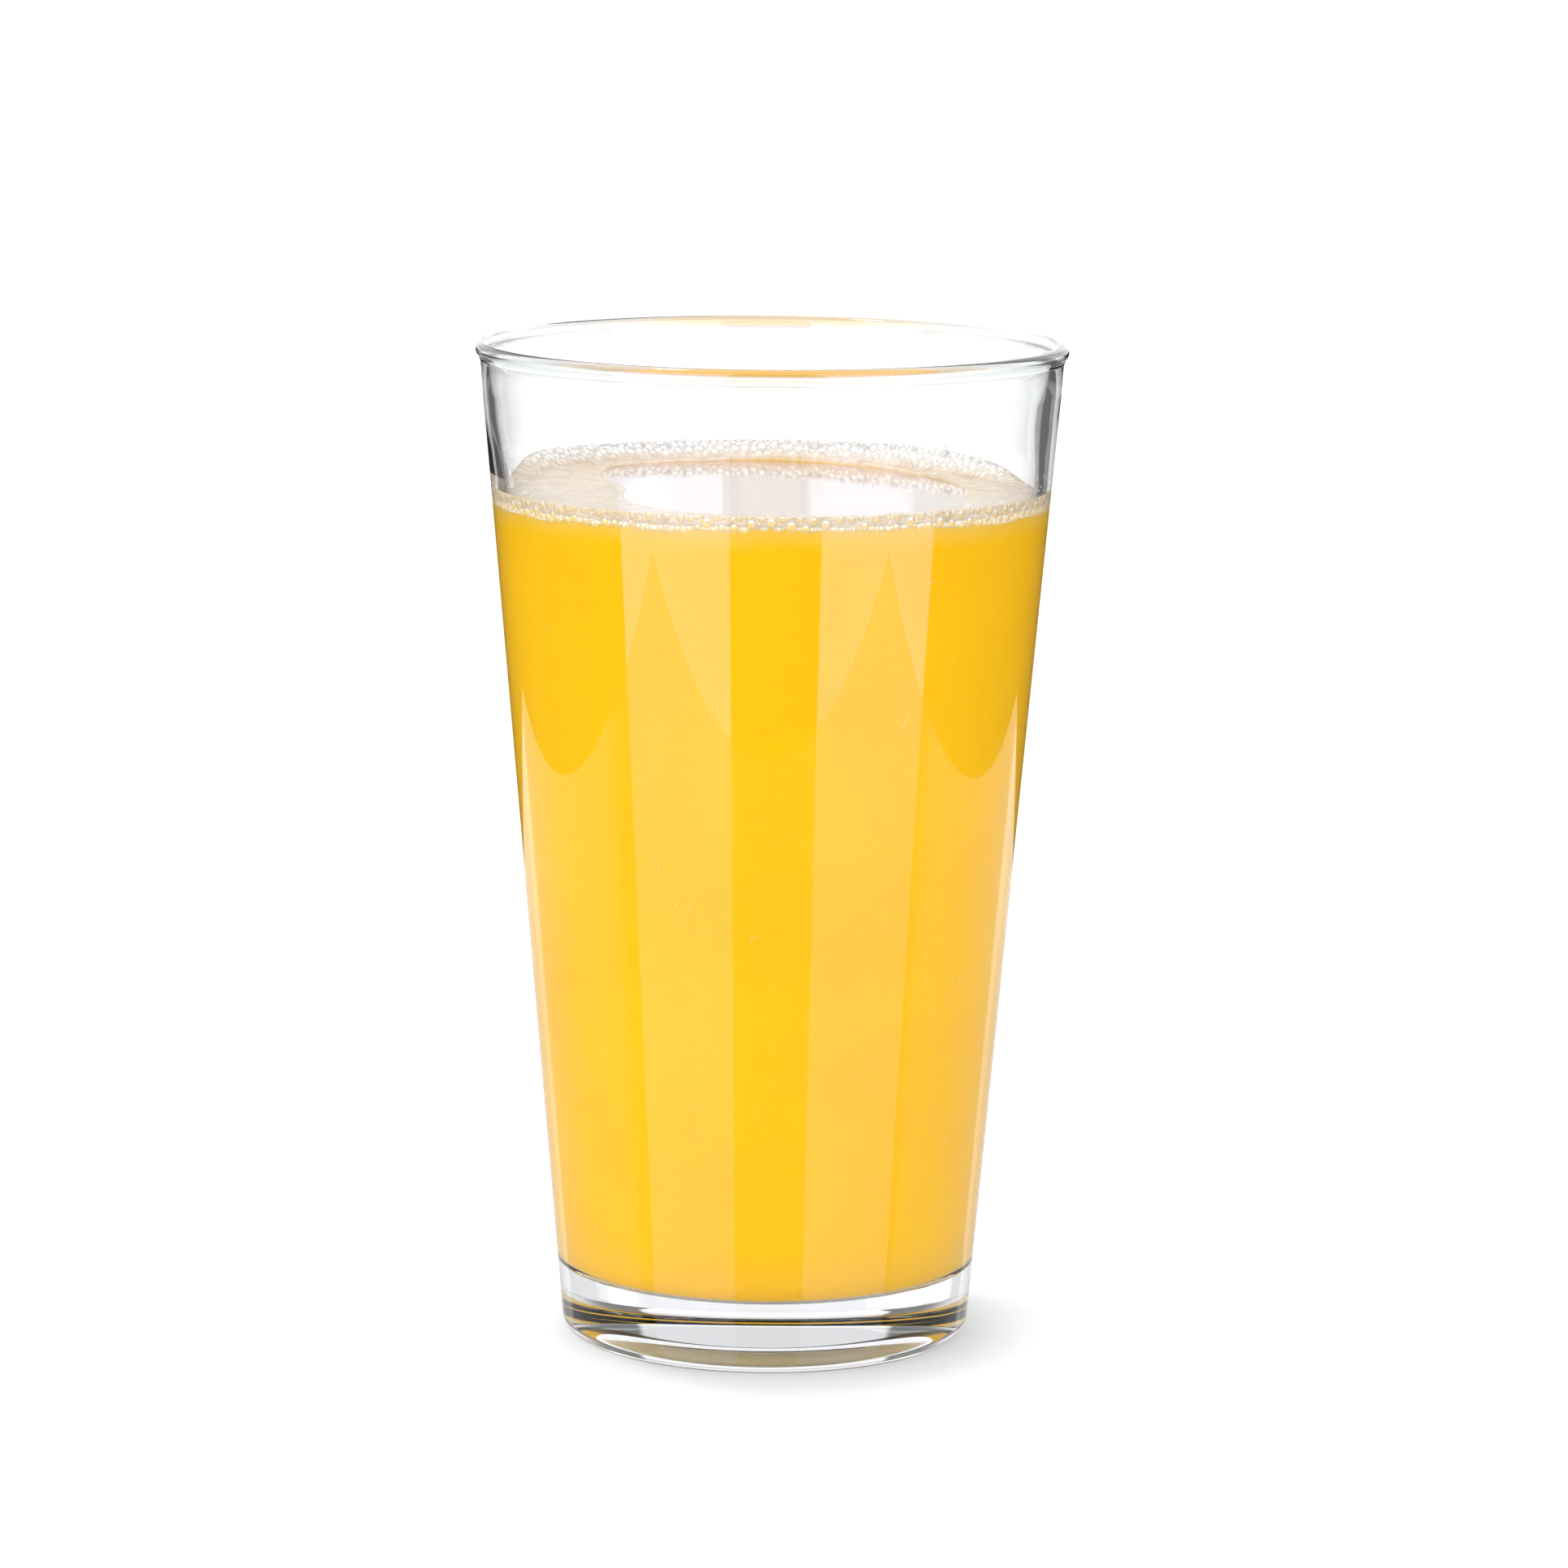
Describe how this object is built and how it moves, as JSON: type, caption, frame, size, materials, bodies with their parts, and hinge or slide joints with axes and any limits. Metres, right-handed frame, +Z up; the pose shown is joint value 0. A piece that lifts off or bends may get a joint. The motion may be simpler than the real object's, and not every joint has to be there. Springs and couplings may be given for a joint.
{
  "type": "glass of orange juice",
  "caption": "Tapered pint glass filled with orange juice, with a ring of foam and bubbles at the wall and free space up to the rim.",
  "frame": {"origin": "centre of the ring that the glass stands on, at its underside", "axes": "+Z up along the axis of the glass; -Y is the side that faces the viewer, +X to the viewer's right"},
  "size_m": [0.0888, 0.0888, 0.1514],
  "materials": {
    "clear_glass": "clear polished soda-lime glass",
    "orange_juice": "cloudy liquid with a smooth wet surface",
    "foam": "wet foam of small bubbles"
  },
  "bodies": {
    "root": {"glass": "clear_glass", "juice": "orange_juice", "foam": "foam"}
  },
  "joints": []
}
